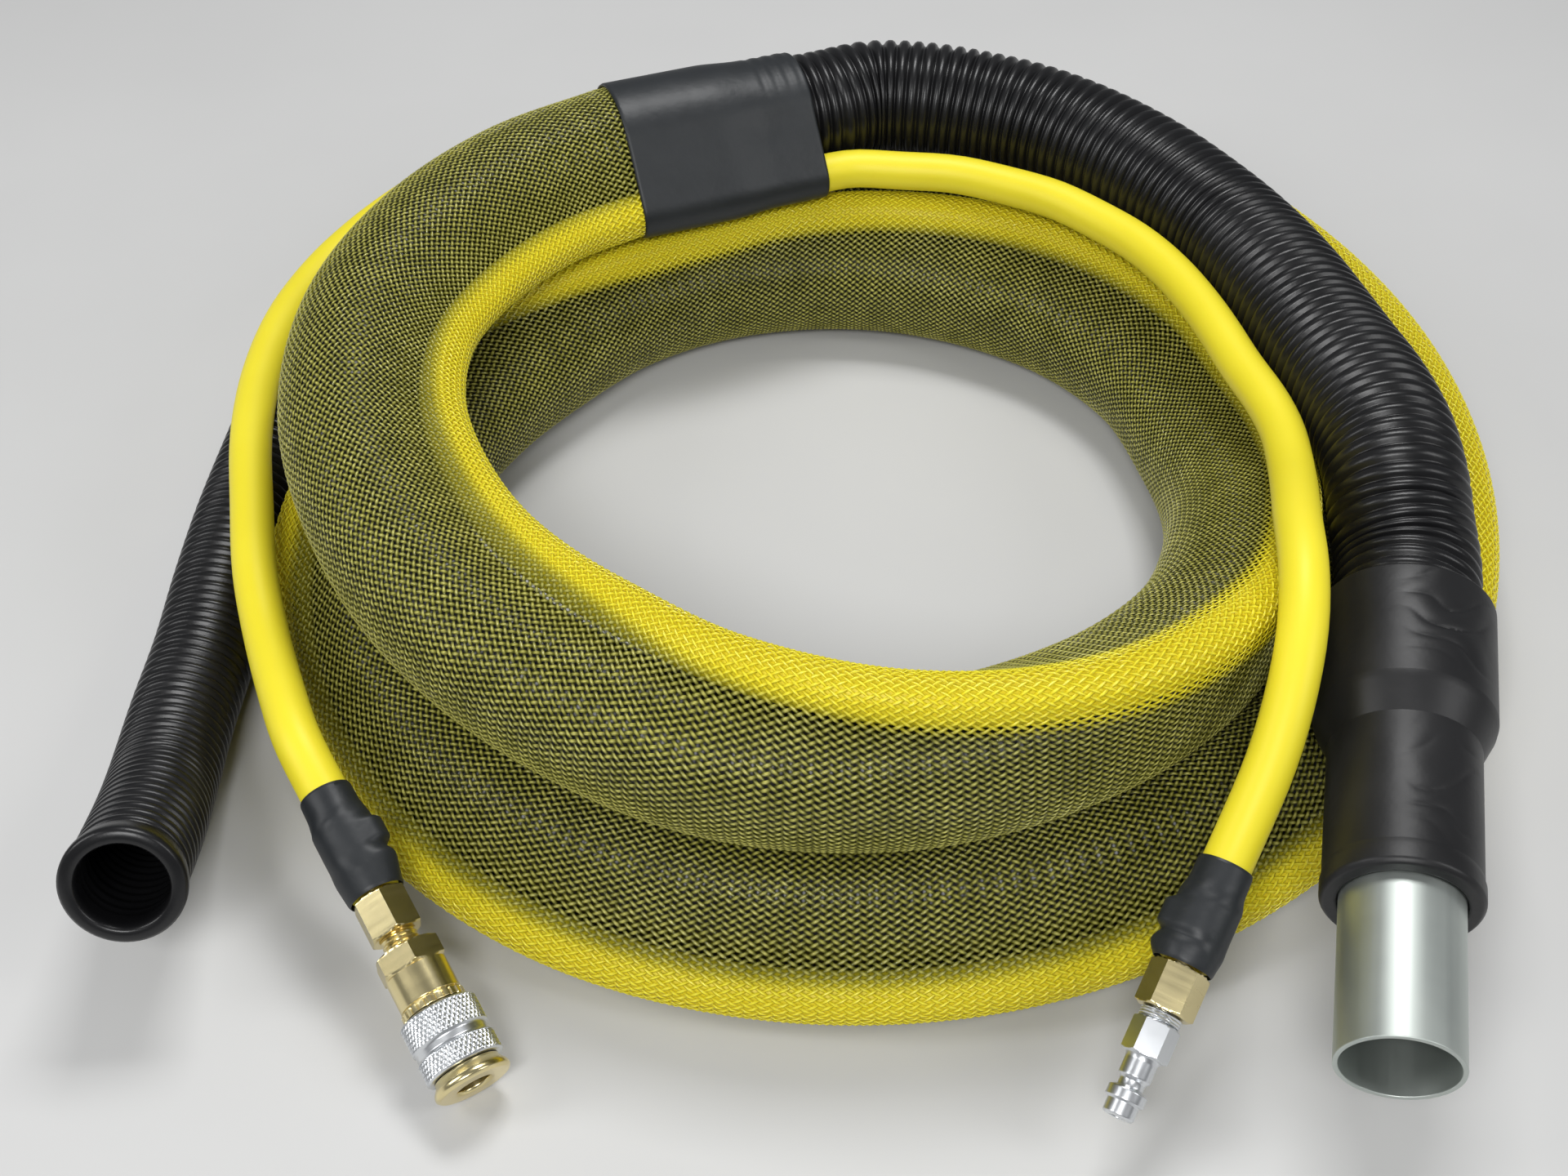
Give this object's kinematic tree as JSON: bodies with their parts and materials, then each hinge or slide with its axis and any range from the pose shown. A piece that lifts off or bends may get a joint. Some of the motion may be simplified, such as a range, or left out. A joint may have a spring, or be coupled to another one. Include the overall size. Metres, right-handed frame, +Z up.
{
  "type": "coiled suction and air hose set",
  "caption": "Corrugated suction hose and yellow air hose in one braided sleeve, coiled, with rubber cuff and steel tube, air plug and quick coupler.",
  "frame": {"origin": "middle of the coiled set's box, on the surface that it lies on", "axes": "+Z up from the floor, -Y towards the two loose ends' fittings, +X to the vacuum end"},
  "size_m": [0.4744, 0.5112, 0.1158],
  "materials": {
    "yellow_braid": "satin",
    "yellow_hose": "satin",
    "black_hose": "gloss",
    "heat_shrink": "matte",
    "cuff_rubber": "satin",
    "tube_steel": "satin",
    "brass": "satin",
    "plated_steel": "gloss",
    "seal_rubber": "matte"
  },
  "bodies": {
    "hose_set": {"braided_sleeve": "yellow_braid", "vacuum_end_collar": "heat_shrink", "tool_end_collar": "heat_shrink", "suction_hose": "black_hose", "hose_reducer": "black_hose", "tool_hose": "black_hose", "air_hose": "yellow_hose", "rubber_cuff": "cuff_rubber", "steel_tube": "tube_steel", "plug_heat_shrink": "heat_shrink", "plug_ear_clamp": "plated_steel", "plug_hose_tail": "brass", "air_plug": "plated_steel", "coupler_heat_shrink": "heat_shrink", "coupler_ear_clamp": "plated_steel", "coupler_hose_tail": "brass", "coupler_body": "brass", "locking_ball_1": "plated_steel", "locking_ball_2": "plated_steel", "locking_ball_3": "plated_steel", "locking_ball_4": "plated_steel", "sleeve_ring": "plated_steel", "coupler_nose": "brass", "sleeve_spring": "plated_steel", "valve_spring": "plated_steel", "plug_seal": "seal_rubber"},
    "sleeve": {"coupler_sleeve": "plated_steel"},
    "valve": {"coupler_valve": "brass", "valve_seal": "seal_rubber"}
  },
  "joints": [
    {"name": "sleeve_slide", "type": "slide", "parent": "hose_set", "child": "sleeve", "axis": [-0.5034, 0.8016, 0.3226], "range_m": [0, 0.004], "stiffness_N_per_m": 800, "springref_m": -0.004, "deforming": ["sleeve_spring"]},
    {"name": "valve_slide", "type": "slide", "parent": "hose_set", "child": "valve", "axis": [-0.5034, 0.8016, 0.3226], "range_m": [0, 0.004], "stiffness_N_per_m": 500, "springref_m": -0.004, "deforming": ["valve_spring"]}
  ]
}
